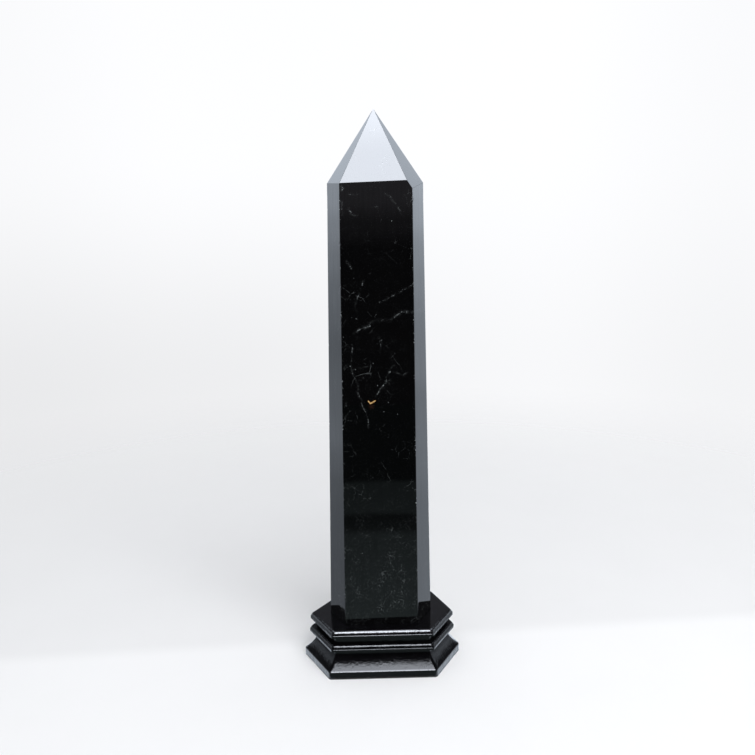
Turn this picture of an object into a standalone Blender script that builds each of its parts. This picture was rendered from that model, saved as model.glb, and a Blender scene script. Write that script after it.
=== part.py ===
"""A polished morion quartz point standing in its stepped black lacquered stand.

Metres, +Z up. The origin is under the middle of the stand, on the surface that it rests on. The broad front face
of the point looks towards -Y.
"""

import math

import bmesh
import bpy
from mathutils import Vector

OBJECT_NAME = "morion_quartz_point"
TAN_60 = math.tan(math.radians(60))
SIN_60 = math.sin(math.radians(60))

# Stand: heights run from the surface up, and insets and extras are distances from the upper plate's side
STAND_HEIGHT = 0.0282
PLATE_HALF_WIDTH = 0.0448
PLATE_HALF_DEPTH = 0.0257
BACK_SHIFT = 0.0036
PLAN_CORNER_RADIUS = 0.0022
PLAN_CORNER_SEGMENTS = 3
PLATE_PITCH = 0.0086
LOWER_PLATE_EXTRA = 0.0006
LIP_RADIUS = 0.0021
LIP_INSET = 0.0004
FILLET_HEIGHT = 0.0012
ARRIS_RADIUS = 0.00025
NECK_INSET = 0.0032

# Foot of the stand: an upright side, and above it a hollow cove that narrows to the neck
FOOT_EXTRA = 0.0034
FOOT_SIDE_HEIGHT = 0.0042
FOOT_EDGE_RADIUS = 0.0005
COVE_TOP = 0.0128
COVE_SAG = 0.0008

# Arcs of the stand's edge: angles are in degrees above level
ARC_SEGMENTS = 5
LEVEL = 0
LIP_START = 5
FOOT_EDGE_END = 60
UPRIGHT = 90
SMOOTH_UP_TO = math.radians(30)

# Socket in the stand's top
SOCKET_DEPTH = 0.0050
FIT_GAP = 0.0003

# Crystal: heights are measured from the stand's top
CRYSTAL_HALF_WIDTH = 0.0312
CRYSTAL_FACE_HALF_WIDTH = 0.0219
SHOULDER_HEIGHT = 0.2590
SHOULDER_HALF_WIDTH = 0.0268
SHOULDER_FACE_HALF_WIDTH = 0.0198
SHOULDER_SHIFT = 0.0012
APEX_HEIGHT = 0.2984
APEX_SHIFT = 0.0009
CRYSTAL_X = -0.0005
CRYSTAL_TURN = math.radians(1.0)
POLISHED_EDGE = 0.00035
LEAST_EDGE_TURN = math.radians(5)
SIDES = 6

# Where each tip facet meets the two upright edges beside it, as heights above or below the shoulder.
# Edges run clockwise seen from above, from the left edge round the back.
TIP_FACET_HEIGHTS = (
    (0.0002, -0.0003),
    (-0.0003, 0.0003),
    (-0.0010, -0.0002),
    (-0.0002, -0.0037),
    (0.0005, -0.0006),
    (-0.0006, 0.0002),
)


def clear_scene():
    """Removes the objects that a new scene starts with."""
    for obj in list(bpy.data.objects):
        bpy.data.objects.remove(obj, do_unlink=True)


def new_collection(name):
    collection = bpy.data.collections.new(name)
    bpy.context.scene.collection.children.link(collection)
    return collection


def new_material(name, colour, roughness, ior):
    material = bpy.data.materials.new(name)
    material.use_nodes = True
    shader = material.node_tree.nodes["Principled BSDF"]
    shader.inputs["Base Color"].default_value = (*colour, 1.0)
    shader.inputs["Roughness"].default_value = roughness
    shader.inputs["Metallic"].default_value = 0.0
    shader.inputs["IOR"].default_value = ior
    return material


def object_from(bm, name, collection):
    """Writes a bmesh to a new object and frees it."""
    bmesh.ops.recalc_face_normals(bm, faces=bm.faces)
    mesh = bpy.data.meshes.new(name)
    bm.to_mesh(mesh)
    bm.free()
    obj = bpy.data.objects.new(name, mesh)
    collection.objects.link(obj)
    return obj


def hexagon(half_width, half_depth, height, back_shift=0.0):
    """Six corners with 120 degree angles, clockwise seen from above, from the left corner round the back."""
    face_half = half_width - half_depth / TAN_60
    return [
        Vector((-half_width, 0.0, height)),
        Vector((-face_half + back_shift, half_depth, height)),
        Vector((face_half + back_shift, half_depth, height)),
        Vector((half_width, 0.0, height)),
        Vector((face_half, -half_depth, height)),
        Vector((-face_half, -half_depth, height)),
    ]


def rounded(corners, reach, segments):
    """The outline with each corner replaced by a curve that starts and ends this far from it."""
    outline = []
    for i, corner in enumerate(corners):
        start = corner + (corners[i - 1] - corner).normalized() * reach
        end = corner + (corners[(i + 1) % len(corners)] - corner).normalized() * reach
        for step in range(segments + 1):
            t = step / segments
            outline.append(start * (1 - t) ** 2 + corner * 2 * t * (1 - t) + end * t**2)
    return outline


def loft(name, outlines, collection):
    """A closed body through outlines with equal numbers of points, one above the other."""
    bm = bmesh.new()
    rings = [[bm.verts.new(point) for point in outline] for outline in outlines]
    for low, high in zip(rings, rings[1:]):
        for i in range(len(low)):
            bm.faces.new((low[i - 1], low[i], high[i], high[i - 1]))
    bm.faces.new(rings[0])
    bm.faces.new(rings[-1])
    return object_from(bm, name, collection)


def arc(centre, radius, start, end):
    """Points (extra, height) of an arc round a centre, between two angles in degrees above level."""
    points = []
    for step in range(ARC_SEGMENTS + 1):
        angle = math.radians(start + (end - start) * step / ARC_SEGMENTS)
        points.append(
            (centre[0] + radius * math.cos(angle), centre[1] + radius * math.sin(angle))
        )
    return points


def plate_profile(extra, top):
    """One plate's edge from its underside up: a narrow upright fillet, a small step and a rounded lip."""
    fillet_top = top - LIP_RADIUS - ARRIS_RADIUS
    arris = arc((extra - ARRIS_RADIUS, fillet_top), ARRIS_RADIUS, LEVEL, UPRIGHT)
    lip_centre = (extra - LIP_INSET - LIP_RADIUS, top - LIP_RADIUS)
    lip = arc(lip_centre, LIP_RADIUS, LIP_START, UPRIGHT)
    return [(extra, fillet_top - FILLET_HEIGHT), *arris, *lip]


def cove(low, high, sag):
    """Points (extra, height) between two ends, on a parabola hollowed inwards by the sag at its middle."""
    run = Vector(high) - Vector(low)
    inward = Vector((-run.y, run.x)).normalized()
    points = []
    for step in range(1, ARC_SEGMENTS):
        t = step / ARC_SEGMENTS
        share_of_sag = 1 - (2 * t - 1) ** 2
        points.append(tuple(Vector(low) + run * t + inward * sag * share_of_sag))
    return [*points, high]


def foot_profile():
    """The foot's edge from the surface up: the upright side, a rounded edge and the cove."""
    centre = (FOOT_EXTRA - FOOT_EDGE_RADIUS, FOOT_SIDE_HEIGHT)
    edge = arc(centre, FOOT_EDGE_RADIUS, LEVEL, FOOT_EDGE_END)
    return [(FOOT_EXTRA, 0.0), *edge, *cove(edge[-1], (-NECK_INSET, COVE_TOP), COVE_SAG)]


def stand_profile():
    """All of the stand's edge, from the surface to its top."""
    lower_top = STAND_HEIGHT - PLATE_PITCH
    lower = plate_profile(LOWER_PLATE_EXTRA, lower_top)
    upper = plate_profile(0.0, STAND_HEIGHT)
    lower_neck = [(-NECK_INSET, lower[0][1])]
    upper_neck = [(-NECK_INSET, lower_top), (-NECK_INSET, upper[0][1])]
    return foot_profile() + lower_neck + lower + upper_neck + upper


def stand_outline(extra, height):
    """The stand's plan, moved outwards by the same distance on every side. Its back edge sits a little to +X."""
    corners = hexagon(
        PLATE_HALF_WIDTH + extra / SIN_60, PLATE_HALF_DEPTH + extra, height, BACK_SHIFT
    )
    return rounded(corners, PLAN_CORNER_RADIUS / TAN_60, PLAN_CORNER_SEGMENTS)


def make_stand(parts, cutters, finish):
    """The stand, with its plates, necks, foot and socket in one body."""
    stand = loft("stand", [stand_outline(*point) for point in stand_profile()], parts)
    stand.data.shade_smooth()
    stand.data.set_sharp_from_angle(angle=SMOOTH_UP_TO)
    socket = stand.modifiers.new("socket", "BOOLEAN")
    socket.operation = "DIFFERENCE"
    socket.solver = "EXACT"
    socket.object = socket_cutter(cutters)
    stand.data.materials.append(finish)
    return stand


def crystal_outline(half_width, face_half_width, height, shift=0.0):
    """The point's plan at one height."""
    half_depth = (half_width - face_half_width) * TAN_60
    return [corner + Vector((shift, 0.0, 0.0)) for corner in hexagon(half_width, half_depth, height)]


def place_on_stand(obj):
    """Puts an object's zero on the crystal's own axis, level with the stand's top."""
    obj.location = (CRYSTAL_X, 0.0, STAND_HEIGHT)
    obj.rotation_euler = (0.0, 0.0, CRYSTAL_TURN)


def socket_cutter(cutters):
    """The crystal's foot grown by the fit gap, and tall enough to pass out of the stand's top."""
    half_width = CRYSTAL_HALF_WIDTH + FIT_GAP / SIN_60
    face_half_width = CRYSTAL_FACE_HALF_WIDTH + FIT_GAP / TAN_60
    levels = (-SOCKET_DEPTH, SOCKET_DEPTH)
    outlines = [crystal_outline(half_width, face_half_width, level) for level in levels]
    cutter = loft("socket_cutter", outlines, cutters)
    place_on_stand(cutter)
    return cutter


def edge_point(low, high, height):
    """The point at this height on the line through low and high."""
    return low.lerp(high, (height - low.z) / (high.z - low.z))


def cut_facet(bm, a, b, c, inside):
    """Cuts everything off the block beyond the plane through a, b and c, and closes the cut."""
    normal = (b - a).cross(c - a).normalized()
    if (inside - a).dot(normal) > 0:
        normal.negate()
    everything = list(bm.verts) + list(bm.edges) + list(bm.faces)
    cut = bmesh.ops.bisect_plane(bm, geom=everything, plane_co=a, plane_no=normal, clear_outer=True)
    rim = [item for item in cut["geom_cut"] if isinstance(item, bmesh.types.BMEdge)]
    bmesh.ops.contextual_create(bm, geom=rim)


def rough_block(bm, bottom):
    """The block that the crystal is cut from, larger than it on every side but the foot."""
    bmesh.ops.create_cube(bm, size=1.0)
    size = Vector((4 * CRYSTAL_HALF_WIDTH, 4 * CRYSTAL_HALF_WIDTH, 2 * APEX_HEIGHT))
    bmesh.ops.scale(bm, vec=size, verts=bm.verts)
    bmesh.ops.translate(bm, vec=(0.0, 0.0, bottom + size.z / 2), verts=bm.verts)


def make_crystal(parts, finish):
    """The point, cut from a block by six prism faces and six tip facets."""
    foot = crystal_outline(CRYSTAL_HALF_WIDTH, CRYSTAL_FACE_HALF_WIDTH, 0.0)
    shoulder = crystal_outline(
        SHOULDER_HALF_WIDTH, SHOULDER_FACE_HALF_WIDTH, SHOULDER_HEIGHT, SHOULDER_SHIFT
    )
    apex = Vector((APEX_SHIFT, 0.0, APEX_HEIGHT))
    inside = Vector((0.0, 0.0, SHOULDER_HEIGHT / 2))
    bm = bmesh.new()
    rough_block(bm, FIT_GAP - SOCKET_DEPTH)
    for i, (near_rise, far_rise) in enumerate(TIP_FACET_HEIGHTS):
        j = (i + 1) % SIDES
        near = edge_point(foot[i], shoulder[i], SHOULDER_HEIGHT + near_rise)
        far = edge_point(foot[j], shoulder[j], SHOULDER_HEIGHT + far_rise)
        cut_facet(bm, foot[i], foot[j], shoulder[i], inside)
        cut_facet(bm, near, far, apex, inside)
    crystal = object_from(bm, "crystal_point", parts)
    place_on_stand(crystal)
    polished = crystal.modifiers.new("polished edges", "BEVEL")
    polished.width = POLISHED_EDGE
    polished.segments = 1
    polished.limit_method = "ANGLE"
    polished.angle_limit = LEAST_EDGE_TURN
    crystal.data.materials.append(finish)
    return crystal


def hide(cutters):
    cutters.hide_render = True
    for obj in cutters.objects:
        obj.hide_render = True
        obj.display_type = "WIRE"


def main():
    clear_scene()
    parts = new_collection(OBJECT_NAME)
    cutters = new_collection("cutters")
    morion = new_material("morion", (0.006, 0.006, 0.007), 0.04, 1.544)
    lacquer = new_material("black_lacquer", (0.010, 0.010, 0.012), 0.16, 1.5)
    make_stand(parts, cutters, lacquer)
    make_crystal(parts, morion)
    hide(cutters)


main()
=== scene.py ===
"""Finish of the morion quartz point and its black lacquered stand, laid out as an add-on.

Metres, +Z up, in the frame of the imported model. Each piece has an operator, and so has the studio.
"""

import math

import bpy
import numpy as np
from mathutils import Matrix, Vector


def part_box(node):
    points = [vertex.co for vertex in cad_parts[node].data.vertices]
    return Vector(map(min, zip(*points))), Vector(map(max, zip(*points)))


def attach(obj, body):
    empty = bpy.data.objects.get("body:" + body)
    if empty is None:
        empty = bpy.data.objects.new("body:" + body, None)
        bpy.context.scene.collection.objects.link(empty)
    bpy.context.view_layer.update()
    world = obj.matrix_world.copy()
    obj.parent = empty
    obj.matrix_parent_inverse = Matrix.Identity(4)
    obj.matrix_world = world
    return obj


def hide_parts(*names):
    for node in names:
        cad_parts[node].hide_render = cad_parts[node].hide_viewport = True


bl_info = {
    "name": "Morion Quartz Point",
    "version": (1, 0, 0),
    "blender": (4, 5, 0),
    "location": "View3D > Sidebar > Morion",
    "description": "Builds a polished morion quartz point on a black lacquered stand",
    "category": "Object",
}

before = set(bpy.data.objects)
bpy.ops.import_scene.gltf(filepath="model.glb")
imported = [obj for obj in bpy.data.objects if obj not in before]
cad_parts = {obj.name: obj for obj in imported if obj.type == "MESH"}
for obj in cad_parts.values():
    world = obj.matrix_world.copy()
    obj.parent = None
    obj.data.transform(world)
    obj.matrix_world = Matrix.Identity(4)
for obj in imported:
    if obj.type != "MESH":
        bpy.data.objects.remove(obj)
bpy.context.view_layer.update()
STAND_LOW, STAND_HIGH = (np.array(corner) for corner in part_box("stand"))
CRYSTAL_LOW, CRYSTAL_HIGH = (np.array(corner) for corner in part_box("crystal_point"))

BODY = "root"
MM = 0.001
SIDES = 6
TAN_60 = math.tan(math.radians(60))
SIN_60 = math.sin(math.radians(60))

# The photograph's frame, in pixels
PHOTO_SIDE = 755
PHOTO_MIDDLE = PHOTO_SIDE / 2
SENSOR_MM = 36.0

# Where each tip facet meets the two upright edges beside it, as heights above or below the shoulder.
# Sides run counterclockwise seen from above, from the left corner by way of the front.
TIP_FACET_HEIGHTS = (
    (0.0002, -0.0006),
    (-0.0006, 0.0005),
    (-0.0037, -0.0002),
    (-0.0002, -0.0010),
    (0.0003, -0.0003),
    (-0.0003, 0.0002),
)

# Pale fractures on the front face, as pixels of the photograph along each one: (width in mm, strength, route)
FRACTURES = {
    "long middle": (0.30, 1.0, (
        (354, 333), (359, 329), (364, 327), (368, 326), (371, 321), (377, 319), (382, 320), (390, 320),
        (396, 315), (401, 312), (411, 311))),
    "upper right": (0.22, 0.5, ((379, 302), (389, 297), (396, 293), (402, 290), (411, 285))),
    "upper left": (0.20, 0.7, ((363, 281), (361, 287), (358, 295), (355, 301), (354, 307), (357, 312))),
    "left run, upper": (0.20, 0.8, ((352, 344), (352, 350), (351, 358), (350, 363), (352, 373))),
    "left run, lower": (0.20, 0.8, (
        (352, 373), (357, 383), (357, 389), (358, 395), (361, 400), (362, 406), (367, 415), (368, 427))),
    "left dash": (0.20, 0.5, ((363, 377), (366, 380))),
    "middle hook": (0.26, 0.8, ((389, 380), (383, 384), (380, 388), (378, 392), (376, 396))),
    "right arc": (0.20, 0.55, ((392, 371), (398, 373), (402, 375), (407, 372))),
    "right spur": (0.26, 0.7, ((393, 365), (390, 369), (388, 375))),
    "drop": (0.20, 0.4, ((381, 340), (379, 351))),
    "top arc": (0.20, 0.6, ((385, 193), (390, 196), (393, 201), (397, 206), (399, 209), (402, 215))),
    "top streak": (0.22, 0.5, ((347, 194), (357, 194))),
    "top dash": (0.26, 1.0, ((348, 208), (352, 214))),
    "top corner": (0.26, 1.0, ((341, 186), (343, 188), (341, 190))),
    "top edge": (0.22, 0.8, ((342, 201), (341, 208), (342, 214))),
    "top hook": (0.20, 0.5, ((350, 213), (353, 215), (357, 214))),
    "second streak": (0.20, 0.4, ((370, 207), (377, 206))),
    "small left pair": (0.22, 0.85, ((346, 261), (349, 265), (351, 268))),
    "cross streak": (0.20, 0.35, ((353, 369), (362, 367), (373, 366))),
}
# Bright specks on the front face: (radius in mm, strength, pixels of the photograph)
SPECKS = (
    (0.36, 1.0, ((369, 326), (352, 373), (350, 366), (390, 371), (383, 385), (391, 220), (362, 285))),
    (0.34, 0.55, (
        (353, 278), (351, 317), (356, 318), (381, 340), (373, 363), (355, 369), (377, 385), (388, 402),
        (362, 553), (343, 337), (383, 411), (397, 414))),
)
# Where small marks crowd together
BUSY_SPOT = (375, 378)
# The golden inclusion, shaped like a check mark
GOLD_ROUTE = ((368, 401), (370, 403), (375, 400))
RUST_SPOT = (371, 406)
# A fold in the cloth, where the floor meets the backdrop; in front of it the floor's colour is raised, as
# painted light on the lit floor
FOLD = ((0, 657), (755, 612))

# Spacing of the mesh beside a polished edge, in metres from it
EDGE_STEPS = np.array([0.0, 0.12, 0.28, 0.5, 0.9, 1.8]) * MM


def number(name, description, default, **options):
    return bpy.props.FloatProperty(name=name, description=description, default=default, **options)


def metres(name, description, default):
    return number(name, description, default, unit="LENGTH", precision=5)


def angle_property(name, description, default):
    return number(name, description, default, subtype="ANGLE")


def rgb(name, description, default):
    return bpy.props.FloatVectorProperty(
        name=name, description=description, default=default, subtype="COLOR", size=3, min=0.0, max=1.0
    )


def factor_property(name, description, default, highest=1.0):
    return number(name, description, default, min=0.0, max=highest, precision=3)


class CrystalSettings(bpy.types.PropertyGroup):
    """Sizes and finish of the quartz point."""

    foot_half_width: metres(
        "Foot half width", "Middle to the side corners, level with the stand's top", 0.0312
    )
    foot_face_half_width: metres("Foot face half width", "Half of the front face there", 0.0219)
    shoulder_height: metres("Shoulder height", "From the stand's top to the tip facets", 0.2590)
    shoulder_half_width: metres("Shoulder half width", "Middle to the side corners there", 0.0268)
    shoulder_face_half_width: metres("Shoulder face half width", "Half of the front face there", 0.0198)
    shoulder_shift: metres("Shoulder shift", "How far the shoulder leans to +X", 0.0012)
    apex_shift: metres("Apex shift", "How far the apex leans to +X", 0.0009)
    offset: metres("Offset", "Place of the foot on the stand, along X", -0.0005)
    turn: angle_property("Turn", "Turn of the point on its stand", math.radians(1.0))
    edge_cut: metres("Edge cut", "What the polish takes off an upright edge", 0.00009)
    row_step: metres("Row step", "Height of one row of the mesh", 0.0006)
    chips: bpy.props.IntProperty(
        name="Chips", description="Number of small chips along the edges", default=34, min=0
    )
    body: rgb("Body", "Colour of the quartz", (0.0007, 0.0007, 0.0008))
    fracture: rgb("Fracture", "Colour of the pale fractures", (0.25, 0.275, 0.28))
    gold: rgb("Gold", "Colour of the golden inclusion", (0.42, 0.22, 0.06))
    gold_core: rgb("Gold core", "Colour of its bright middle", (1.0, 0.86, 0.55))
    rust: rgb("Rust", "Colour of the stain below it", (0.014, 0.006, 0.004))
    roughness: factor_property("Roughness", "Roughness of the polish", 0.028)


class StandSettings(bpy.types.PropertyGroup):
    """Sizes and finish of the stand. Insets and extras are distances from the upper plate's side."""

    plate_half_width: metres("Plate half width", "Middle to the side corners of the upper plate", 0.0448)
    back_shift: metres("Back shift", "How far the back edge sits to +X", 0.0036)
    corner_radius: metres("Corner radius", "Rounding of the plan's corners", 0.0024)
    plate_pitch: metres("Plate pitch", "Height from plate to plate", 0.0086)
    lower_extra: metres("Lower extra", "How far the lower plate stands out", 0.0006)
    lip_radius: metres("Lip radius", "Rounding of a plate's upper edge", 0.0021)
    lip_inset: metres("Lip inset", "Step between the fillet and the lip", 0.0004)
    fillet_height: metres("Fillet height", "Height of the upright fillet under a lip", 0.0012)
    arris_radius: metres("Arris radius", "Rounding of the fillet's upper edge", 0.0003)
    neck_inset: metres("Neck inset", "Depth of the groove between the plates", 0.0032)
    foot_extra: metres("Foot extra", "How far the foot stands out", 0.0034)
    foot_side_height: metres("Foot side height", "Height of the foot's upright side", 0.0042)
    foot_edge_radius: metres("Foot edge radius", "Rounding above the foot's side", 0.0005)
    cove_top: metres("Cove top", "Height where the cove meets the neck", 0.0128)
    cove_sag: metres("Cove sag", "How hollow the cove is", 0.0008)
    fit_gap: metres("Fit gap", "Room around the crystal in its socket", 0.0003)
    ripple: metres("Ripple", "Unevenness of the lacquer", 0.00003)
    colour: rgb("Colour", "Colour of the lacquer", (0.0014, 0.0013, 0.0018))
    roughness: factor_property("Roughness", "Roughness of the lacquer", 0.09)
    polish: factor_property("Polish", "How strongly the lacquer mirrors", 0.40)
    # Painted shade: the hollow cove mirrors less
    cove_polish_painted_shade: factor_property("Cove polish", "The same in the cove", 0.10)
    # Painted shade: the lower plate's lip mirrors less, as if shaded by the upper plate
    lower_lip_polish_painted_shade: factor_property("Lower lip polish", "The same on the lower plate's lip", 0.20)


class StudioSettings(bpy.types.PropertyGroup):
    """Camera, floor and lights."""

    camera_place: bpy.props.FloatVectorProperty(
        name="Camera place", description="Where the camera stands", default=(-0.00492, -0.43063, 0.2639),
        unit="LENGTH", size=3
    )
    pitch: angle_property("Pitch", "How far it looks down", 0.1997)
    roll: angle_property("Roll", "Turn round its own axis", -0.0182)
    yaw: angle_property("Yaw", "Turn to the right", 0.0116)
    focal_pixels: number("Focal length", "In pixels of the photograph", 750.0)
    floor_radius: metres("Floor radius", "Radius of the floor", 2.4)
    backdrop: rgb("Backdrop", "Colour that the camera sees behind", (0.862, 0.866, 0.880))
    floor: rgb("Floor", "Colour of the cloth", (0.825, 0.822, 0.83))


def settings(name):
    return getattr(bpy.context.scene, name)


def blend(a, b, share):
    return a * (1 - share) + b * share


# Meshes


def grid_object(name, rows, low_pole, high_pole, sharp_from=180.0):
    """A closed surface from rings of points. rows[r, c] is point c of ring r, and a fan closes each end.

    Rings run counterclockwise seen from above, and follow each other up the outside.
    """
    count, around = rows.shape[:2]
    points = np.concatenate([rows.reshape(-1, 3), [low_pole, high_pole]])
    index = np.arange(count * around).reshape(count, around)
    after = np.roll(index, -1, axis=1)
    quads = np.stack([index[:-1], after[:-1], after[1:], index[1:]], axis=-1).reshape(-1, 4)
    low = np.full(around, count * around)
    low_fan = np.stack([low, after[0], index[0]], axis=-1)
    high_fan = np.stack([index[-1], after[-1], low + 1], axis=-1)
    return mesh_object(name, points, quads, np.concatenate([low_fan, high_fan]), sharp_from)


def mesh_object(name, points, quads, triangles, sharp_from=180.0):
    """A smooth object from points, quads and triangles. Edges over sharp_from degrees stay sharp."""
    corners = np.concatenate([quads.ravel(), triangles.ravel()]).astype(np.int32)
    sizes = np.concatenate([np.full(len(quads), 4), np.full(len(triangles), 3)])
    starts = (np.cumsum(sizes) - sizes).astype(np.int32)
    mesh = bpy.data.meshes.new(name)
    mesh.vertices.add(len(points))
    mesh.vertices.foreach_set("co", np.asarray(points, np.float32).ravel())
    mesh.loops.add(len(corners))
    mesh.loops.foreach_set("vertex_index", corners)
    mesh.polygons.add(len(sizes))
    mesh.polygons.foreach_set("loop_start", starts)
    mesh.update(calc_edges=True)
    mesh.validate()
    mesh.shade_smooth()
    mesh.set_sharp_from_angle(angle=math.radians(sharp_from))
    obj = bpy.data.objects.new(name, mesh)
    bpy.context.scene.collection.objects.link(obj)
    return obj


def grid_normals(rows):
    """Unit normals of a grid of rings, from the differences between neighbours both ways."""
    along = np.roll(rows, -1, axis=1) - np.roll(rows, 1, axis=1)
    up = np.gradient(rows, axis=0)
    normal = np.cross(along, up)
    return normal / np.maximum(np.linalg.norm(normal, axis=-1, keepdims=True), 1e-12)


def hexagon(half_width, half_depth, height, back_shift=0.0):
    """Six corners with 120 degree angles, counterclockwise from the left corner by way of the front."""
    half_width, half_depth, height = np.broadcast_arrays(half_width, half_depth, height)
    face_half = half_width - half_depth / TAN_60
    zero = np.zeros_like(half_width)
    x = [-half_width, -face_half, face_half, half_width, face_half + back_shift, -face_half + back_shift]
    y = [zero, -half_depth, -half_depth, zero, half_depth, half_depth]
    return np.stack([np.stack([a, b, height], axis=-1) for a, b in zip(x, y)], axis=-2)


# The stand


# Points round a plan corner, and steps along a side, on a lip, on a small edge and on the cove
CORNER_STEPS = 7
SIDE_STEPS = 46
ARC_STEPS = 10
EDGE_ARC_STEPS = 6
COVE_STEPS = 14
# Angles of the arcs, in degrees above level
LEVEL = 0
LIP_START = 5
FOOT_EDGE_END = 60
UPRIGHT = 90
# Rings of the underside as shares of the way out, and numbers of rings on top and in the socket
UNDERSIDE_SHARES = np.linspace(0.2, 0.98, 8)
TOP_RINGS = 12
WALL_RINGS = 5
SOCKET_CORNER_REACH = 0.0004
# Edges that turn by more degrees than this stay sharp
SHARP_FROM = 28.0
# Ripple of the lacquer: seed, number of waves, and their shortest and longest length
RIPPLE_SEED = 11
RIPPLE_WAVES = 14
RIPPLE_LENGTHS = (0.003, 0.03)


def rounded_rings(corners, reach):
    """Rings through rows of corners, each rounded by a parabola that reaches this far to both sides."""
    before = np.roll(corners, 1, axis=1) - corners
    after = np.roll(corners, -1, axis=1) - corners
    start = corners + before / np.linalg.norm(before, axis=-1, keepdims=True) * reach
    end = corners + after / np.linalg.norm(after, axis=-1, keepdims=True) * reach
    t = np.linspace(0.0, 1.0, CORNER_STEPS)[:, None]
    bend = (
        start[:, :, None] * (1 - t) ** 2 + corners[:, :, None] * 2 * t * (1 - t) + end[:, :, None] * t**2
    )
    s = np.linspace(0.0, 1.0, SIDE_STEPS + 1)[1:-1, None]
    straight = blend(end[:, :, None], np.roll(start, -1, axis=1)[:, :, None], s)
    return np.concatenate([bend, straight], axis=2).reshape(len(corners), -1, 3)


def arc(centre, radius, start, end, steps=ARC_STEPS):
    """Points (extra, height) of an arc round a centre, between two angles in degrees above level."""
    angle = np.radians(np.linspace(start, end, steps + 1))
    return np.stack([centre[0] + radius * np.cos(angle), centre[1] + radius * np.sin(angle)], axis=-1)


def line(start, end, steps):
    """Points evenly spaced on a line, without its first one."""
    t = np.linspace(0.0, 1.0, steps + 1)[1:, None]
    return blend(np.asarray(start), np.asarray(end), t)


def plate_profile(stand, extra, top):
    """One plate's edge from its underside up: an upright fillet, its rounded arris, a step and a lip."""
    fillet_top = top - stand.lip_radius - stand.arris_radius
    low = (extra, fillet_top - stand.fillet_height)
    arris_centre = (extra - stand.arris_radius, fillet_top)
    arris = arc(arris_centre, stand.arris_radius, LEVEL, UPRIGHT, EDGE_ARC_STEPS)
    lip_centre = (extra - stand.lip_inset - stand.lip_radius, top - stand.lip_radius)
    lip = arc(lip_centre, stand.lip_radius, LIP_START, UPRIGHT)
    return np.concatenate([[low], line(low, arris[0], 3), arris[1:], lip])


def foot_profile(stand):
    """The foot's edge from the surface up: an upright side, a rounded edge and a hollow parabolic cove."""
    centre = (stand.foot_extra - stand.foot_edge_radius, stand.foot_side_height)
    edge = arc(centre, stand.foot_edge_radius, LEVEL, FOOT_EDGE_END, EDGE_ARC_STEPS)
    bottom = (stand.foot_extra, 0.0)
    run = np.array([-stand.neck_inset, stand.cove_top]) - edge[-1]
    inward = np.array([-run[1], run[0]]) / np.linalg.norm(run)
    t = np.linspace(0.0, 1.0, COVE_STEPS + 1)[1:, None]
    cove = edge[-1] + run * t + inward * stand.cove_sag * (1 - (2 * t - 1) ** 2)
    return np.concatenate([[bottom], line(bottom, edge[0], 4), edge[1:], cove])


def edge_profile(stand):
    """All of the stand's edge, from the surface to its top, with the necks between its plates."""
    top = STAND_HIGH[2]
    lower_top = top - stand.plate_pitch
    lower = plate_profile(stand, stand.lower_extra, lower_top)
    upper = plate_profile(stand, 0.0, top)
    neck = -stand.neck_inset
    lower_neck = line((neck, stand.cove_top), (neck, lower[0][1]), 2)
    under_lower = line(lower_neck[-1], lower[0], 3)[:-1]
    onto_lower = line(lower[-1], (neck, lower_top), 2)
    upper_neck = line(onto_lower[-1], (neck, upper[0][1]), 3)
    under_upper = line(upper_neck[-1], upper[0], 3)[:-1]
    return np.concatenate(
        [foot_profile(stand), lower_neck, under_lower, lower, onto_lower, upper_neck, under_upper, upper]
    )


def stand_rings(stand, profile):
    """The stand's plan at each (extra, height) of a profile, moved outwards by the extra on every side."""
    half_depth = STAND_HIGH[1] - stand.foot_extra
    extra, height = profile[:, 0], profile[:, 1]
    corners = hexagon(stand.plate_half_width + extra / SIN_60, half_depth + extra, height, stand.back_shift)
    return rounded_rings(corners, stand.corner_radius / TAN_60)


def socket_rings(stand, crystal, depths):
    """The socket's outline at these depths below the stand's top."""
    half_width = crystal.foot_half_width + stand.fit_gap / SIN_60
    face_half_width = crystal.foot_face_half_width + stand.fit_gap / TAN_60
    depth = (half_width - face_half_width) * TAN_60
    corners = hexagon(half_width, depth, -np.asarray(depths, float))
    return rounded_rings(placed(crystal, corners), SOCKET_CORNER_REACH)


def placed(crystal, points):
    """Points of the crystal's own frame, turned and put on the stand."""
    cos, sin = math.cos(crystal.turn), math.sin(crystal.turn)
    turn = np.array([[cos, -sin, 0.0], [sin, cos, 0.0], [0.0, 0.0, 1.0]])
    return points @ turn.T + (crystal.offset, 0.0, STAND_HIGH[2])


def waves(rng, angle, height, count, shortest, longest):
    """Sine waves over (distance round, height), of random direction, phase and length, within 0 to 1."""
    total = np.zeros(np.broadcast(angle, height).shape)
    for _ in range(count):
        length = math.exp(rng.uniform(math.log(shortest), math.log(longest)))
        tilt = rng.normal(0.0, 0.5)
        phase = rng.uniform(0.0, 2 * math.pi)
        total += np.sin(2 * math.pi * (angle + tilt * height) / length + phase)
    return 0.5 + total / (2 * count)


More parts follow.
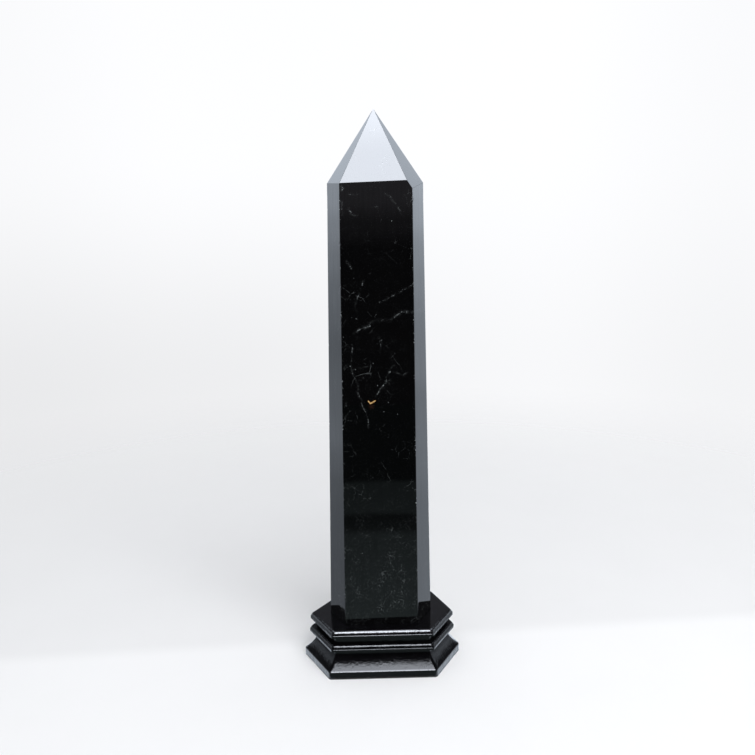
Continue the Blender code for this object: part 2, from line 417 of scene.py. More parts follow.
def make_stand(stand, crystal):
    """The stand in one surface: underside, foot, plates, top, and the socket down to its floor."""
    side = stand_rings(stand, edge_profile(stand))
    middle = side[0].mean(axis=0)
    underside = middle + (side[0] - middle) * UNDERSIDE_SHARES[:, None, None]
    rim = socket_rings(stand, crystal, [0.0])[0]
    floor_depth = CRYSTAL_LOW[2] - stand.fit_gap - STAND_HIGH[2]
    top = blend(side[-1], rim, np.linspace(0.0, 1.0, TOP_RINGS + 1)[1:, None, None])
    wall = socket_rings(stand, crystal, np.linspace(0.0, -floor_depth, WALL_RINGS + 1)[1:])
    rows = np.concatenate([underside, side, top, wall])

    step = np.linalg.norm(np.roll(side[-1], -1, axis=0) - side[-1], axis=-1)
    around = np.cumsum(step)
    rng = np.random.default_rng(RIPPLE_SEED)
    ripple = waves(rng, around[None, :], rows[:, :, 2], RIPPLE_WAVES, *RIPPLE_LENGTHS)
    raised = np.zeros(len(rows))
    raised[len(underside) + 2 : len(underside) + len(side)] = 1.0
    rows = rows - grid_normals(rows) * (stand.ripple * ripple * raised[:, None])[..., None]
    return grid_object("lacquered_stand", rows, middle, wall[-1].mean(axis=0), SHARP_FROM)


# The crystal


# Spacing of the mesh: clearance from an edge and least gap, as shares of the steps there, then columns
CLEAR_OF_EDGE = 1.4
LEAST_GAP = 0.4
COLUMN_STEP = 0.006
FACET_SAMPLES = 4001
# Edges get sharper over this height, starting this many times it below the shoulder, and near the apex
TIP_EASE = 0.002
TIP_EASE_START = 3.5
APEX_ZONE = 0.008
SHARPER_TIP = 3
SHARPER_APEX = 4
# Chips: seed, radii and depths in mm, and the shares of an edge between which they lie
CHIP_SEED = 5
CHIP_RADII = (0.7, 2.2)
CHIP_DEPTHS = (0.05, 0.2)
CHIP_PLACES = (0.05, 0.97)


def plane_through(a, b, c, inside):
    """(outward unit normal, distance from zero) of the plane through three points."""
    normal = np.cross(b - a, c - a)
    normal /= np.linalg.norm(normal)
    if normal @ (inside - a) > 0:
        normal = -normal
    return normal, normal @ a


def crystal_corners(crystal):
    """The corners of the prism level with the stand's top and at the shoulder, and the apex."""
    foot_depth = (crystal.foot_half_width - crystal.foot_face_half_width) * TAN_60
    shoulder_depth = (crystal.shoulder_half_width - crystal.shoulder_face_half_width) * TAN_60
    foot = hexagon(crystal.foot_half_width, foot_depth, 0.0)
    shoulder = hexagon(crystal.shoulder_half_width, shoulder_depth, crystal.shoulder_height)
    shoulder = shoulder + (crystal.shoulder_shift, 0.0, 0.0)
    apex = np.array([crystal.apex_shift, 0.0, CRYSTAL_HIGH[2] - STAND_HIGH[2]])
    return foot, shoulder, apex


def crystal_planes(crystal):
    """Normals and distances of the six prism faces, and of the six tip facets."""
    foot, shoulder, apex = crystal_corners(crystal)
    slope = (shoulder - foot) / crystal.shoulder_height
    inside = np.array([0.0, 0.0, crystal.shoulder_height / 2])
    prism, tip = [], []
    for i, (near_rise, far_rise) in enumerate(TIP_FACET_HEIGHTS):
        j = (i + 1) % SIDES
        near = foot[i] + slope[i] * (crystal.shoulder_height + near_rise)
        far = foot[j] + slope[j] * (crystal.shoulder_height + far_rise)
        prism.append(plane_through(foot[i], foot[j], shoulder[i], inside))
        tip.append(plane_through(near, far, apex, inside))
    return tuple(tuple(np.array(part) for part in zip(*planes)) for planes in (prism, tip))


def edge_spaced(length, stations, inner_step):
    """Shares of a length, close together beside each station and evenly spaced between them."""
    steps = EDGE_STEPS / length
    beside = [station + sign * steps for station in stations for sign in (-1, 1)]
    even = np.linspace(0.0, 1.0, max(2, int(length / inner_step)))
    margin = CLEAR_OF_EDGE * steps[-1]
    clear = [t for t in even if min(abs(t - station) for station in stations) > margin]
    shares = np.unique(np.concatenate([*beside, clear]).clip(0.0, 1.0))
    keep = np.concatenate([[True], np.diff(shares) > steps[1] * LEAST_GAP])
    for station in stations:
        keep[np.argmin(abs(shares - station))] = True
    return shares[keep]


def tip_start(p0, q, tip):
    """Height at which upright lines p0 + height * q first meet a tip facet, and which facet it is."""
    normals, distances = tip
    heights = (distances - p0 @ normals.T) / (q @ normals.T)
    return heights.min(axis=-1), heights.argmin(axis=-1)


def smooth_polish(points, normals, distances, sharpness):
    """Moves points onto a rounded copy of the solid.

    The solid is where the greatest of its planes' heights is zero. A soft greatest value, the logarithm of a
    sum of exponentials, rounds its edges. Each step moves a point along that value's slope.
    """
    for _ in range(3):
        height = points @ normals.T - distances
        top = height.max(axis=-1, keepdims=True)
        weight = np.exp((height - top) * sharpness)
        total = weight.sum(axis=-1, keepdims=True)
        value = top + np.log(total) / sharpness
        slope = (weight / total) @ normals
        points = points - value * slope / (slope**2).sum(axis=-1, keepdims=True)
    return points


def chip_edges(points, foot, shoulder, count, edge_cut):
    """Presses small balls into the upright edges: what lies in a ball moves onto its surface."""
    rng = np.random.default_rng(CHIP_SEED)
    for _ in range(count):
        i = rng.integers(SIDES)
        radius = rng.uniform(*CHIP_RADII) * MM
        depth = rng.uniform(*CHIP_DEPTHS) * MM + edge_cut
        spot = blend(foot[i], shoulder[i], rng.uniform(*CHIP_PLACES))
        outward = spot * (1.0, 1.0, 0.0)
        outward /= np.linalg.norm(outward)
        centre = spot + outward * (radius - depth)
        away = points - centre
        distance = np.linalg.norm(away, axis=-1, keepdims=True)
        points = np.where(distance < radius, centre + away / distance * radius, points)
    return points


def make_crystal(crystal):
    """The point in one surface. Each column runs up a prism face to its tip facet, then to the apex."""
    foot, shoulder, apex = crystal_corners(crystal)
    slope = (shoulder - foot) / crystal.shoulder_height
    prism, tip = crystal_planes(crystal)
    starts, slopes = [], []
    fine = np.linspace(0.0, 1.0, FACET_SAMPLES)[:, None]
    for i in range(SIDES):
        j = (i + 1) % SIDES
        _, facet = tip_start(blend(foot[i], foot[j], fine), blend(slope[i], slope[j], fine), tip)
        turns = fine[np.nonzero(np.diff(facet))[0], 0]
        length = np.linalg.norm(shoulder[j] - shoulder[i])
        share = edge_spaced(length, [0.0, *turns, 1.0], COLUMN_STEP)[:-1, None]
        starts.append(blend(foot[i], foot[j], share))
        slopes.append(blend(slope[i], slope[j], share))
    p0, q = np.concatenate(starts), np.concatenate(slopes)
    turn_height, _ = tip_start(p0, q, tip)
    bottom = CRYSTAL_LOW[2] - STAND_HIGH[2]
    rise = crystal.shoulder_height - bottom
    up = edge_spaced(rise, [1.0], crystal.row_step)[:, None]
    heights = bottom + (turn_height[None, :] - bottom) * up
    prism_rows = p0[None] + q[None] * heights[..., None]
    slant = np.linalg.norm(apex - prism_rows[-1, 0])
    toward = edge_spaced(slant, [0.0, 1.0], crystal.row_step)[1:-1, None, None]
    tip_rows = blend(prism_rows[-1][None], apex, toward)
    rows = np.concatenate([prism_rows, tip_rows, np.broadcast_to(apex, (1, len(p0), 3))])

    normals = np.concatenate([prism[0], tip[0]])
    distances = np.concatenate([prism[1], tip[1]])
    height = rows[..., 2:]
    on_tip = np.clip((height - crystal.shoulder_height) / TIP_EASE + TIP_EASE_START, 0.0, 1.0)
    near_apex = np.clip(1 - (apex[2] - height) / APEX_ZONE, 0.0, 1.0)
    sharpness = math.log(2) / (crystal.edge_cut * math.cos(math.radians(30)))
    sharpness = sharpness * (1 + SHARPER_TIP * on_tip + SHARPER_APEX * near_apex)
    rows = smooth_polish(rows, normals, distances, sharpness)
    rows = chip_edges(rows, foot, shoulder, crystal.chips, crystal.edge_cut)
    rows[0, :, 2] = bottom
    rows = placed(crystal, rows)
    return grid_object("quartz_point", rows[:-1], rows[0].mean(axis=0), rows[-1].mean(axis=0))


# Materials


QUARTZ_IOR = 1.544
QUARTZ_SHINE = 0.52
LACQUER_IOR = 1.5
DUST_COLOUR = (0.30, 0.30, 0.31)


def add(tree, kind, inputs=(), **options):
    """A shader node with its options set, and its inputs wired to sockets or set to values."""
    node = tree.nodes.new("ShaderNode" + kind)
    for name, value in options.items():
        setattr(node, name, value)
    for key, value in dict(inputs).items():
        if isinstance(value, bpy.types.NodeSocket):
            tree.links.new(value, node.inputs[key])
        else:
            node.inputs[key].default_value = value
    return node


def maths(tree, operation, a, b=0.0):
    return add(tree, "Math", {0: a, 1: b}, operation=operation).outputs[0]


def times(tree, a, b):
    return maths(tree, "MULTIPLY", a, b)


def vector_maths(tree, operation, a, b=(0.0, 0.0, 0.0)):
    node = add(tree, "VectorMath", {0: a, 1: b}, operation=operation)
    return node.outputs["Value" if operation in ("LENGTH", "DOT_PRODUCT", "DISTANCE") else "Vector"]


def scaled(tree, vector, factor):
    return add(tree, "VectorMath", {0: vector, "Scale": factor}, operation="SCALE").outputs["Vector"]


def ramp(tree, value, low, high, to_low=0.0, to_high=1.0):
    """The value's place between low and high, eased at both ends, from to_low to to_high."""
    inputs = {"Value": value, "From Min": low, "From Max": high, "To Min": to_low, "To Max": to_high}
    return add(tree, "MapRange", inputs, interpolation_type="SMOOTHSTEP").outputs["Result"]


def noise(tree, position, scale, detail=3.0, roughness=0.5, output="Fac"):
    inputs = {"Vector": position, "Scale": scale, "Detail": detail, "Roughness": roughness}
    return add(tree, "TexNoise", inputs).outputs[output]


def z_of(tree, vector):
    return add(tree, "SeparateXYZ", {"Vector": vector}).outputs["Z"]


def wire(node, name, value):
    node.id_data.links.new(value, node.inputs[name])


def mix_colour(tree, factor, a, b):
    node = add(tree, "Mix", {"Factor": factor}, data_type="RGBA")
    for socket, value in ((node.inputs[6], a), (node.inputs[7], b)):
        if isinstance(value, bpy.types.NodeSocket):
            tree.links.new(value, socket)
        else:
            socket.default_value = (*value, 1.0)
    return node.outputs[2]


def new_material(name):
    material = bpy.data.materials.new(name)
    material.use_nodes = True
    tree = material.node_tree
    position = add(tree, "TexCoord").outputs["Object"]
    return material, tree, tree.nodes["Principled BSDF"], position


def camera_rays(studio, pixels):
    """The camera's place, and the directions of its rays through these pixels."""
    place, axes = camera_frame(studio)
    offsets = np.asarray(pixels, float) + 0.5 - PHOTO_MIDDLE
    depth = np.full(len(offsets), -studio.focal_pixels)
    return place, np.stack([offsets[:, 0], -offsets[:, 1], depth], axis=-1) @ axes.T


def front_points(studio, crystal, pixels):
    """Where the camera's rays through these pixels meet the crystal's front face."""
    place, rays = camera_rays(studio, pixels)
    foot, shoulder, _ = crystal_corners(crystal)
    corners = placed(crystal, np.stack([foot[1], foot[2], shoulder[1]]))
    normal = np.cross(corners[1] - corners[0], corners[2] - corners[0])
    reach = ((corners[0] - place) @ normal) / (rays @ normal)
    return place + rays * reach[:, None]


def floor_points(studio, pixels):
    """Where the camera's rays through these pixels meet the floor."""
    place, rays = camera_rays(studio, pixels)
    return place - rays * (place[2] / rays[:, 2:])


def run_distance(tree, position, start, end):
    """Distance from a straight run: what is left of (point - start) without its share along the run."""
    run = end - start
    away = vector_maths(tree, "SUBTRACT", position, tuple(start))
    along = vector_maths(tree, "DOT_PRODUCT", away, tuple(run / (run @ run)))
    share = maths(tree, "MINIMUM", maths(tree, "MAXIMUM", along, 0.0), 1.0)
    return vector_maths(tree, "DISTANCE", away, scaled(tree, tuple(run), share))


def nearest_distance(tree, position, runs):
    """Distance to the nearest of some straight runs, each a pair of points."""
    nearest = 1.0
    for start, end in runs:
        nearest = maths(tree, "MINIMUM", nearest, run_distance(tree, position, start, end))
    return nearest


def route_distance(tree, position, route):
    return nearest_distance(tree, position, zip(route, route[1:]))


def edge_wear(tree, position, crystal):
    """Pale specks where the upright edges were knocked."""
    foot, shoulder, _ = crystal_corners(crystal)
    distance = nearest_distance(tree, position, zip(placed(crystal, foot), placed(crystal, shoulder)))
    beside = ramp(tree, distance, 0.25 * MM, 0.65 * MM, 1.0, 0.0)
    specks = ramp(tree, noise(tree, position, 1100.0, 2.0), 0.60, 0.68)
    stretches = ramp(tree, noise(tree, position, 55.0, 2.0), 0.45, 0.62)
    return times(tree, beside, times(tree, specks, stretches))


def warped(tree, position, scale, amount):
    """The position moved about by noise, so that lines drawn from it wander."""
    colour = noise(tree, position, scale, 4.0, output="Color")
    centred = vector_maths(tree, "SUBTRACT", colour, (0.5, 0.5, 0.5))
    return vector_maths(tree, "ADD", position, scaled(tree, centred, amount))


def fine_fractures(tree, position, scale, width, cover):
    """Thin lines on the borders of random cells, kept only where a broad noise is high."""
    cells = add(tree, "TexVoronoi", {"Vector": position, "Scale": scale}, feature="DISTANCE_TO_EDGE")
    lines = ramp(tree, cells.outputs["Distance"], 0.0, width * scale, 1.0, 0.0)
    patches = ramp(tree, noise(tree, position, scale * 0.45, 3.0), 1 - cover, 1.15 - cover)
    broken = ramp(tree, noise(tree, position, scale * 4.0, 2.0), 0.42, 0.62)
    return times(tree, times(tree, lines, patches), broken)


def flecks(tree, position, scale, size, cover):
    """Small spots: the middles of random cells, kept where the cell's own random value is high."""
    cells = add(tree, "TexVoronoi", {"Vector": position, "Scale": scale}, feature="F1")
    spot = ramp(tree, cells.outputs["Distance"], size * 0.3, size, 1.0, 0.0)
    chosen = add(tree, "SeparateColor", {"Color": cells.outputs["Color"]}).outputs["Red"]
    return times(tree, spot, ramp(tree, chosen, 1 - cover, 1.05 - cover * 0.5))


def total_of(tree, masks):
    """Masks added up, and kept within 0 to 1."""
    total = masks[0]
    for mask in masks[1:]:
        total = maths(tree, "ADD", total, mask)
    return maths(tree, "MINIMUM", total, 1.0)


def quartz_material(crystal, studio):
    """Black quartz under a polish: pale fractures, flecks, one golden inclusion, and a trace of handling."""
    material, tree, shader, position = new_material("morion")
    wandering = warped(tree, warped(tree, position, 260.0, 1.2 * MM), 1000.0, 0.8 * MM)
    drawn = 0.0
    for width, strength, pixels in FRACTURES.values():
        distance = route_distance(tree, wandering, front_points(studio, crystal, pixels))
        drawn = maths(tree, "MAXIMUM", drawn, ramp(tree, distance, 0.0, width * MM, strength, 0.0))
        drawn = maths(tree, "MAXIMUM", drawn, ramp(tree, distance, 0.0, 5 * width * MM, 0.12 * strength, 0.0))
    long_gaps = ramp(tree, noise(tree, position, 420.0, 2.0), 0.43, 0.58, 0.1, 1.0)
    short_gaps = ramp(tree, noise(tree, position, 1500.0, 3.0, 0.6), 0.42, 0.60, 0.1, 1.0)
    drawn = times(tree, drawn, times(tree, long_gaps, short_gaps))
    for radius, strength, pixels in SPECKS:
        for point in front_points(studio, crystal, pixels):
            away = vector_maths(tree, "DISTANCE", wandering, tuple(point))
            speck = ramp(tree, away, 0.3 * radius * MM, radius * MM, strength, 0.0)
            drawn = maths(tree, "MAXIMUM", drawn, speck)

    height = z_of(tree, position)
    low_down = ramp(tree, height, 0.035, 0.125, 1.0, 0.1)
    patches = ramp(tree, noise(tree, position, 110.0, 2.0), 0.38, 0.62, 0.25, 1.0)
    mottle = ramp(tree, noise(tree, wandering, 1300.0, 6.0, 0.85), 0.54, 0.70, 0.0, 0.26)
    scratchy = times(tree, fine_fractures(tree, wandering, 520.0, 0.10 * MM, 0.5), 0.40)
    marks = maths(tree, "ADD", mottle, scratchy)
    cloudy = times(tree, marks, times(tree, patches, low_down))
    far_warped = warped(tree, position, 60.0, 7 * MM)
    hairlines = times(tree, fine_fractures(tree, far_warped, 42.0, 0.16 * MM, 0.46), 0.42)
    busy_place = tuple(front_points(studio, crystal, [BUSY_SPOT])[0])
    busy = ramp(tree, vector_maths(tree, "DISTANCE", position, busy_place), 6 * MM, 32 * MM, 1.0, 0.35)
    crackle = times(tree, fine_fractures(tree, wandering, 190.0, 0.12 * MM, 0.46), busy)
    crackle = times(tree, crackle, 0.6)
    all_pale = total_of(tree, [drawn, cloudy, hairlines, crackle, edge_wear(tree, position, crystal)])

    colour = mix_colour(tree, all_pale, crystal.body, crystal.fracture)
    drawn_out = vector_maths(tree, "MULTIPLY", position, (1.0, 1.0, 0.02))
    streaks = ramp(tree, noise(tree, drawn_out, 1500.0, 3.0, 0.6), 0.25, 0.75, -0.07, 0.07)
    shoulder = STAND_HIGH[2] + crystal.shoulder_height
    below_tip = ramp(tree, height, shoulder - 4 * MM, shoulder, 1.0, 0.0)
    shine = maths(tree, "ADD", times(tree, streaks, below_tip), QUARTZ_SHINE)
    wire(shader, "Specular IOR Level", shine)
    rust_place = tuple(front_points(studio, crystal, [RUST_SPOT])[0])
    from_rust = vector_maths(tree, "DISTANCE", wandering, rust_place)
    rust = ramp(tree, from_rust, 0.2 * MM, 2.4 * MM, 0.8, 0.0)
    colour = mix_colour(tree, rust, colour, crystal.rust)
    from_gold = route_distance(tree, wandering, front_points(studio, crystal, GOLD_ROUTE))
    gold = ramp(tree, from_gold, 0.15 * MM, 0.6 * MM, 1.0, 0.0)
    colour = mix_colour(tree, gold, colour, crystal.gold)
    core = times(tree, ramp(tree, from_gold, 0.0, 0.34 * MM, 1.0, 0.0), short_gaps)
    colour = mix_colour(tree, core, colour, crystal.gold_core)
    wire(shader, "Base Color", colour)

    handled = noise(tree, position, 45.0, 6.0, 0.6)
    low, high = crystal.roughness * 0.7, crystal.roughness * 2.2
    wire(shader, "Roughness", ramp(tree, handled, 0.35, 0.8, low, high))
    shader.inputs["IOR"].default_value = QUARTZ_IOR
    wave = noise(tree, position, 38.0, 2.0)
    bump = add(tree, "Bump", {"Height": wave, "Strength": 0.05, "Distance": 0.0004})
    wire(shader, "Normal", bump.outputs["Normal"])
    return material


def stepped(tree, where, stops):
    """A value that eases from one of the (place, value) stops to the next."""
    level = stops[0][1]
    for (place, low), (next_place, high) in zip(stops, stops[1:]):
        level = maths(tree, "ADD", ramp(tree, where, place, next_place, 0.0, high - low), level)
    return level


def polish_stops(stand):
    """(height, polish): the foot's side and the plates mirror fully; the cove and the lower plate's lip
    mirror less, as painted shade in the hollow and under the upper plate.
    """
    foot, cove = stand.foot_side_height, stand.cove_top
    lip = STAND_HIGH[2] - stand.plate_pitch - stand.lip_radius
    top = STAND_HIGH[2] - stand.plate_pitch
    full, dull = stand.polish, stand.cove_polish_painted_shade
    return (
        (foot, full),
        # Painted shade: less mirror in the cove
        (foot + 1.0 * MM, dull),
        (cove - 1.0 * MM, dull),
        (cove + 1.0 * MM, full),
        # Painted shade: less mirror on the lower plate's lip, under the upper plate
        (lip - 0.3 * MM, full),
        (lip + 0.1 * MM, stand.lower_lip_polish_painted_shade),
        (top, stand.lower_lip_polish_painted_shade),
        (top + 0.4 * MM, full),
    )


def lacquer_material(stand):
    """Black lacquer over wood: a soft orange peel, faint dust, and a stronger bump where the surface turns
    from level.
    """
    material, tree, shader, position = new_material("black_lacquer")
    dust = flecks(tree, position, 900.0, 0.3, 0.1)
    haze = ramp(tree, noise(tree, position, 120.0, 5.0, 0.6), 0.45, 0.8, 0.0, 0.008)
    pale = maths(tree, "ADD", times(tree, dust, 0.03), haze)
    colour = mix_colour(tree, pale, stand.colour, DUST_COLOUR)
    wire(shader, "Base Color", colour)
    patchy = noise(tree, position, 160.0, 4.0)
    low, high = stand.roughness * 0.7, stand.roughness * 1.5
    wire(shader, "Roughness", ramp(tree, patchy, 0.3, 0.75, low, high))
    shader.inputs["IOR"].default_value = LACQUER_IOR
    height = z_of(tree, position)
    # Polish by height, with painted shade: the cove and the lower plate's lip mirror less
    polish = stepped(tree, height, polish_stops(stand))
    wire(shader, "Specular IOR Level", polish)
    peel = noise(tree, position, 700.0, 3.0, 0.55)
    brush = noise(tree, position, 140.0, 2.0)
    upward = z_of(tree, add(tree, "TexCoord").outputs["Normal"])
    on_edges = ramp(tree, upward, 0.85, 0.98, 1.0, 0.2)
    surface = maths(tree, "ADD", times(tree, peel, 0.8), brush)
    bump = add(tree, "Bump", {"Height": surface, "Strength": on_edges, "Distance": 0.00025})
    wire(shader, "Normal", bump.outputs["Normal"])
    return material


# The studio


FLOOR_RINGS = 24
FLOOR_COLUMNS = 96
# Cards: height of the table, distance of the front, and heights of the softbox
TABLE = 0.0004
FRONT = -0.80
SOFTBOX_LOW = 0.84
SOFTBOX_HIGH = 1.4
WHITE = (0.90, 0.95, 1.04)
PALE = (0.84, 0.93, 1.05)
KEY_PLACE = (0.38, -0.72, 1.10)
KEY_AIM = (0.0, 0.0, 0.05)
KEY_SIZE = (0.8, 0.6)
KEY_WATTS = 9.0
# Light from all round: (colour, strength) on dull surfaces, and in reflections
AMBIENT = ((0.96, 0.98, 1.0), 0.74)
MIRRORED = ((0.86, 0.88, 1.0), 0.24)


def camera_frame(studio):
    """The camera's place, and its axes as columns: right, up and backwards."""
    p, yaw, roll = studio.pitch, studio.yaw, studio.roll
    ahead = np.array([math.sin(yaw) * math.cos(p), math.cos(yaw) * math.cos(p), -math.sin(p)])
    right = np.cross(ahead, (0.0, 0.0, 1.0))
    right /= np.linalg.norm(right)
    up = np.cross(right, ahead)
    rolled_right = right * math.cos(roll) + up * math.sin(roll)
    rolled_up = up * math.cos(roll) - right * math.sin(roll)
    return np.array(studio.camera_place), np.stack([rolled_right, rolled_up, -ahead], axis=-1)


def make_camera(studio):
    place, axes = camera_frame(studio)
    data = bpy.data.cameras.new("camera")
    data.sensor_width = SENSOR_MM
    data.lens = studio.focal_pixels / PHOTO_SIDE * SENSOR_MM
    data.clip_start = 0.01
    camera = bpy.data.objects.new("camera", data)
    camera.matrix_world = Matrix.LocRotScale(
        Vector(place), Matrix([tuple(row) for row in axes]), Vector((1.0, 1.0, 1.0))
    )
    bpy.context.scene.collection.objects.link(camera)
    bpy.context.scene.camera = camera


def make_floor(studio):
    """A round sheet of pale cloth that fades out towards its border, so that no horizon shows."""
    shape = (FLOOR_RINGS, FLOOR_COLUMNS)
    around = np.linspace(0.0, 2 * math.pi, FLOOR_COLUMNS, endpoint=False)
    radius = np.linspace(0.05, 1.0, FLOOR_RINGS)[:, None] * studio.floor_radius
    rings = np.stack([radius * np.cos(around), radius * np.sin(around), np.zeros(shape)], axis=-1)
    index = np.arange(FLOOR_RINGS * FLOOR_COLUMNS).reshape(shape)
    after = np.roll(index, -1, axis=1)
    quads = np.stack([index[:-1], index[1:], after[1:], after[:-1]], axis=-1).reshape(-1, 4)
    fan = np.stack([np.full(FLOOR_COLUMNS, index.size), index[0], after[0]], axis=-1)
    floor = mesh_object("floor", np.concatenate([rings.reshape(-1, 3), [(0.0, 0.0, 0.0)]]), quads, fan)
    material, tree, shader, position = new_material("pale_cloth")
    weave = noise(tree, position, 14.0, 3.0)
    shade = ramp(tree, weave, 0.2, 0.8, 0.985, 1.0)
    low, high = floor_points(studio, FOLD)
    forward = np.array([high[1] - low[1], low[0] - high[0], 0.0]) / np.linalg.norm(high - low)
    from_fold = vector_maths(tree, "SUBTRACT", position, tuple(low))
    past_fold = vector_maths(tree, "DOT_PRODUCT", from_fold, tuple(forward))
    # Painted light: the cloth's colour is raised in front of the fold
    fold_painted_light = ramp(tree, past_fold, -0.006, 0.012, 1.0, 1.085)
    shade = times(tree, shade, fold_painted_light)
    wire(shader, "Base Color", scaled(tree, tuple(studio.floor), shade))
    shader.inputs["Roughness"].default_value = 0.9
    shader.inputs["Specular IOR Level"].default_value = 0.1
    distance = vector_maths(tree, "LENGTH", position)
    faded = ramp(tree, distance, 0.05 * studio.floor_radius, 0.34 * studio.floor_radius)
    clear = add(tree, "BsdfTransparent").outputs["BSDF"]
    mixed = add(tree, "MixShader", {0: faded, 1: shader.outputs["BSDF"], 2: clear}).outputs["Shader"]
    tree.links.new(mixed, tree.nodes["Material Output"].inputs["Surface"])
    floor.data.materials.append(material)


def make_card(name, corners, tint, strengths):
    """A flat card that only reflections see.

    strengths are ((place, brightness), ...). A place is the height on an upright card, and the distance from
    the stand's middle on a flat one.
    """
    points = np.array(corners)
    card = mesh_object(name, points, np.array([[0, 1, 2, 3]]), np.zeros((0, 3), int))
    material, tree, shader, position = new_material(name)
    tree.nodes.remove(shader)
    emission = add(tree, "Emission", {"Color": (*tint, 1.0)})
    if np.ptp(points[:, 2]) > 0.01:
        where = z_of(tree, position)
    else:
        where = vector_maths(tree, "LENGTH", position)
    tree.links.new(stepped(tree, where, strengths), emission.inputs["Strength"])
    tree.links.new(emission.outputs["Emission"], tree.nodes["Material Output"].inputs["Surface"])
    card.data.materials.append(material)
    card.visible_camera = False
    card.visible_diffuse = False
    card.visible_shadow = False
    card.visible_transmission = False


def upright_card(name, x0, y0, x1, y1, low, high, tint, strengths):
    make_card(name, [(x0, y0, low), (x1, y1, low), (x1, y1, high), (x0, y0, high)], tint, strengths)


def flat_card(name, x0, y0, x1, y1, z, tint, strengths):
    make_card(name, [(x0, y0, z), (x1, y0, z), (x1, y1, z), (x0, y1, z)], tint, strengths)


def make_cards():
    """What the polished faces mirror: a dark room beyond a grey table, a softbox over it, and pale sides."""
    upright_card("room_front", -1.0, FRONT, 1.0, FRONT, 0.0, SOFTBOX_LOW, (0.92, 0.90, 1.0),
                 ((0.0, 0.03), (0.25, 0.03), (0.29, 0.10), (0.335, 0.25), (0.40, 0.26), (0.84, 0.19)))
    flat_card("table_front", -0.6, FRONT, 0.6, -0.03, TABLE, (0.78, 0.98, 1.0),
              ((0.07, 0.30), (0.225, 0.20), (0.250, 0.07), (0.276, 0.05), (0.292, 0.15), (0.378, 0.13),
               (0.394, 0.03)))
    upright_card("softbox_front", -0.45, FRONT, 0.45, FRONT, SOFTBOX_LOW, SOFTBOX_HIGH, WHITE,
                 ((0.84, 17.0), (0.94, 17.3), (1.06, 20.0), (1.2, 32.0)))
    flat_card("softbox_top", -0.45, FRONT, 0.45, 0.05, SOFTBOX_HIGH, WHITE, ((1.4, 32.0), (1.6, 32.0)))
    sides = (
        (-1, "left",
         ((0.058, 1.8), (0.075, 0.50), (0.13, 0.53), (0.26, 0.60), (0.35, 0.68), (0.45, 0.85), (0.56, 1.04),
          (0.75, 0.98), (1.4, 0.91), (2.2, 1.1)),
         ((0.0, 1.06), (0.10, 1.22), (0.20, 1.52), (0.30, 1.95), (0.38, 2.4), (0.46, 2.55))),
        (1, "right",
         ((0.058, 1.8), (0.075, 0.86), (0.26, 0.93), (0.43, 1.12), (0.56, 1.18), (0.75, 1.16), (1.0, 1.36),
          (2.2, 1.5)),
         ((0.0, 1.58), (0.10, 1.76), (0.20, 2.02), (0.32, 2.65), (0.46, 3.2))),
    )
    for sign, name, on_table, on_wall in sides:
        flat_card(f"table_{name}", sign * 0.03, -0.03, sign * 2.4, 2.0, TABLE, PALE, on_table)
        upright_card(f"wall_{name}", sign * 2.3, 0.1, sign * 1.2, 2.0, 0.0, 0.6, PALE, on_wall)
        outer, inner = sign * 0.42, sign * 0.16
        rim = [(outer, 0.22, 0.40), (inner, 0.44, 0.40), (inner, 0.40, 0.68), (outer, 0.18, 0.68)]
        make_card(f"rim_{name}", rim, PALE, ((0.40, 3.05), (0.68, 3.9)))


def make_key_light():
    """One large soft lamp up and to the right of the camera, which the polished faces don't mirror."""
    data = bpy.data.lights.new("key", "AREA")
    data.shape = "RECTANGLE"
    data.size, data.size_y = KEY_SIZE
    data.energy = KEY_WATTS
    lamp = bpy.data.objects.new("key", data)
    lamp.location = KEY_PLACE
    lamp.rotation_euler = (Vector(KEY_AIM) - Vector(KEY_PLACE)).to_track_quat("-Z", "Y").to_euler()
    lamp.visible_glossy = False
    lamp.visible_camera = False
    bpy.context.scene.collection.objects.link(lamp)


def make_world(studio):
    """Pale to the camera, softer as light on dull surfaces, and dim in reflections above the cards."""
    world = bpy.data.worlds.new("studio")
    bpy.context.scene.world = world
    world.use_nodes = True
    tree = world.node_tree
    rays = add(tree, "LightPath")
    ambient = tree.nodes["Background"]
    ambient.inputs["Color"].default_value = (*AMBIENT[0], 1.0)
    ambient.inputs["Strength"].default_value = AMBIENT[1]
    direction = add(tree, "SeparateXYZ", {"Vector": add(tree, "TexCoord").outputs["Generated"]})
    upwards = ramp(tree, direction.outputs["Z"], -0.20, 0.10, 0.99, 1.15)
    low_down = ramp(tree, direction.outputs["Z"], -0.20, 0.10, 1.0, 0.1)
    rightwards = ramp(tree, direction.outputs["X"], -0.25, 0.25, 0.0, 0.10)
    outwards = ramp(tree, maths(tree, "ABSOLUTE", direction.outputs["X"]), 0.22, 0.45, 1.0, 0.96)
    glow = maths(tree, "ADD", upwards, times(tree, low_down, rightwards))
    glow = times(tree, glow, outwards)
    seen = add(tree, "Background", {"Color": (*studio.backdrop, 1.0), "Strength": glow})
    mirrored = add(tree, "Background", {"Color": (*MIRRORED[0], 1.0), "Strength": MIRRORED[1]})
    glossy, camera = rays.outputs["Is Glossy Ray"], rays.outputs["Is Camera Ray"]
    unseen = add(tree, "MixShader", {0: glossy, 1: ambient.outputs[0], 2: mirrored.outputs[0]})
    both = add(tree, "MixShader", {0: camera, 1: unseen.outputs[0], 2: seen.outputs[0]})
    tree.links.new(both.outputs[0], tree.nodes["World Output"].inputs["Surface"])


# Operators and panel


class OBJECT_OT_quartz_point(bpy.types.Operator):
    """Add the polished quartz point"""

    bl_idname = "object.quartz_point"
    bl_label = "Quartz Point"

    def execute(self, context):
        crystal = settings("morion_crystal")
        piece = make_crystal(crystal)
        piece.data.materials.append(quartz_material(crystal, settings("morion_studio")))
        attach(piece, BODY)
        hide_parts("crystal_point")
        return {"FINISHED"}


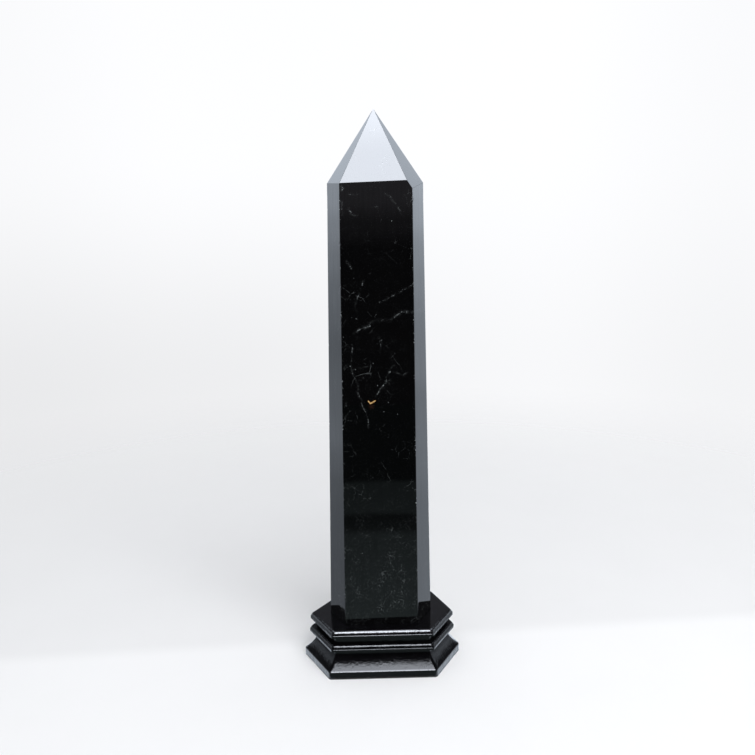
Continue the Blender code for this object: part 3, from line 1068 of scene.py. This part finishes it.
class OBJECT_OT_lacquered_stand(bpy.types.Operator):
    """Add the stepped stand with its socket"""

    bl_idname = "object.lacquered_stand"
    bl_label = "Lacquered Stand"

    def execute(self, context):
        stand = settings("morion_stand")
        piece = make_stand(stand, settings("morion_crystal"))
        piece.data.materials.append(lacquer_material(stand))
        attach(piece, BODY)
        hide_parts("stand")
        return {"FINISHED"}


class SCENE_OT_quartz_studio(bpy.types.Operator):
    """Set up the floor, the lights and the camera"""

    bl_idname = "scene.quartz_studio"
    bl_label = "Studio"

    def execute(self, context):
        studio = settings("morion_studio")
        make_camera(studio)
        make_floor(studio)
        make_cards()
        make_key_light()
        make_world(studio)
        context.scene.view_settings.view_transform = "Standard"
        return {"FINISHED"}


class VIEW3D_PT_quartz_point(bpy.types.Panel):
    """Lists the pieces"""

    bl_label = "Morion Quartz Point"
    bl_idname = "VIEW3D_PT_quartz_point"
    bl_space_type = "VIEW_3D"
    bl_region_type = "UI"
    bl_category = "Morion"

    def draw(self, context):
        for operator in OPERATORS:
            self.layout.operator(operator.bl_idname)
        for name in SETTINGS:
            box = self.layout.box()
            group = settings(name)
            for key in group.bl_rna.properties.keys():
                if key not in ("rna_type", "name"):
                    box.prop(group, key)


SETTINGS = {
    "morion_crystal": CrystalSettings,
    "morion_stand": StandSettings,
    "morion_studio": StudioSettings,
}
OPERATORS = (SCENE_OT_quartz_studio, OBJECT_OT_lacquered_stand, OBJECT_OT_quartz_point)


def register():
    for name, group in SETTINGS.items():
        bpy.utils.register_class(group)
        setattr(bpy.types.Scene, name, bpy.props.PointerProperty(type=group))
    for cls in (*OPERATORS, VIEW3D_PT_quartz_point):
        bpy.utils.register_class(cls)


def unregister():
    for cls in (VIEW3D_PT_quartz_point, *reversed(OPERATORS)):
        bpy.utils.unregister_class(cls)
    for name, group in reversed(SETTINGS.items()):
        delattr(bpy.types.Scene, name)
        bpy.utils.unregister_class(group)


def main():
    register()
    bpy.ops.scene.quartz_studio()
    bpy.ops.object.lacquered_stand()
    bpy.ops.object.quartz_point()


if __name__ == "__main__":
    main()
